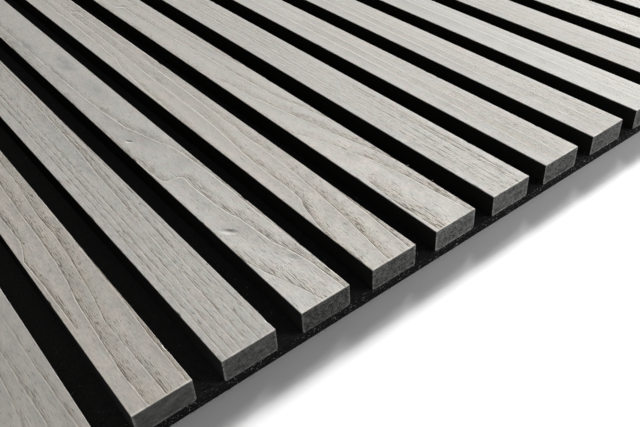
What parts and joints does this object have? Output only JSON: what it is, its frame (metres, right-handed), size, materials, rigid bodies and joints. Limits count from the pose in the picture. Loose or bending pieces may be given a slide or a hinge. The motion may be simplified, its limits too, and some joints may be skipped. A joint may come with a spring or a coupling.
{
  "type": "acoustic slat wall panel",
  "caption": "Sound-absorbing wall panel: parallel grey wood-veneered slats stapled on a black felt board, with open grooves between the slats.",
  "frame": {"origin": "centre of the felt board's back face, which is the centre of the panel's lowest plane", "axes": "+X across the slats, +Y along the slats, +Z out of the wall face, from the felt towards the veneer"},
  "size_m": [0.6, 2.4, 0.018],
  "materials": {
    "felt": "black needled polyester felt, matt and fibrous",
    "fibreboard": "black-dyed fibreboard: painted matt black on its sides, grey and speckled on its sawn ends",
    "veneer": "grey-stained open-pored veneer, matt, with fine pores and raised grain lines",
    "staple_steel": "galvanised wire"
  },
  "bodies": {
    "root": {"felt_backing": "felt", "slat_core_01": "fibreboard", "slat_core_02": "fibreboard", "slat_core_03": "fibreboard", "slat_core_04": "fibreboard", "slat_core_05": "fibreboard", "slat_core_06": "fibreboard", "slat_core_07": "fibreboard", "slat_core_08": "fibreboard", "slat_core_09": "fibreboard", "slat_core_10": "fibreboard", "slat_core_11": "fibreboard", "slat_core_12": "fibreboard", "slat_core_13": "fibreboard", "slat_core_14": "fibreboard", "slat_core_15": "fibreboard", "slat_veneer_01": "veneer", "slat_veneer_02": "veneer", "slat_veneer_03": "veneer", "slat_veneer_04": "veneer", "slat_veneer_05": "veneer", "slat_veneer_06": "veneer", "slat_veneer_07": "veneer", "slat_veneer_08": "veneer", "slat_veneer_09": "veneer", "slat_veneer_10": "veneer", "slat_veneer_11": "veneer", "slat_veneer_12": "veneer", "slat_veneer_13": "veneer", "slat_veneer_14": "veneer", "slat_veneer_15": "veneer", "staples": "staple_steel"}
  },
  "joints": []
}
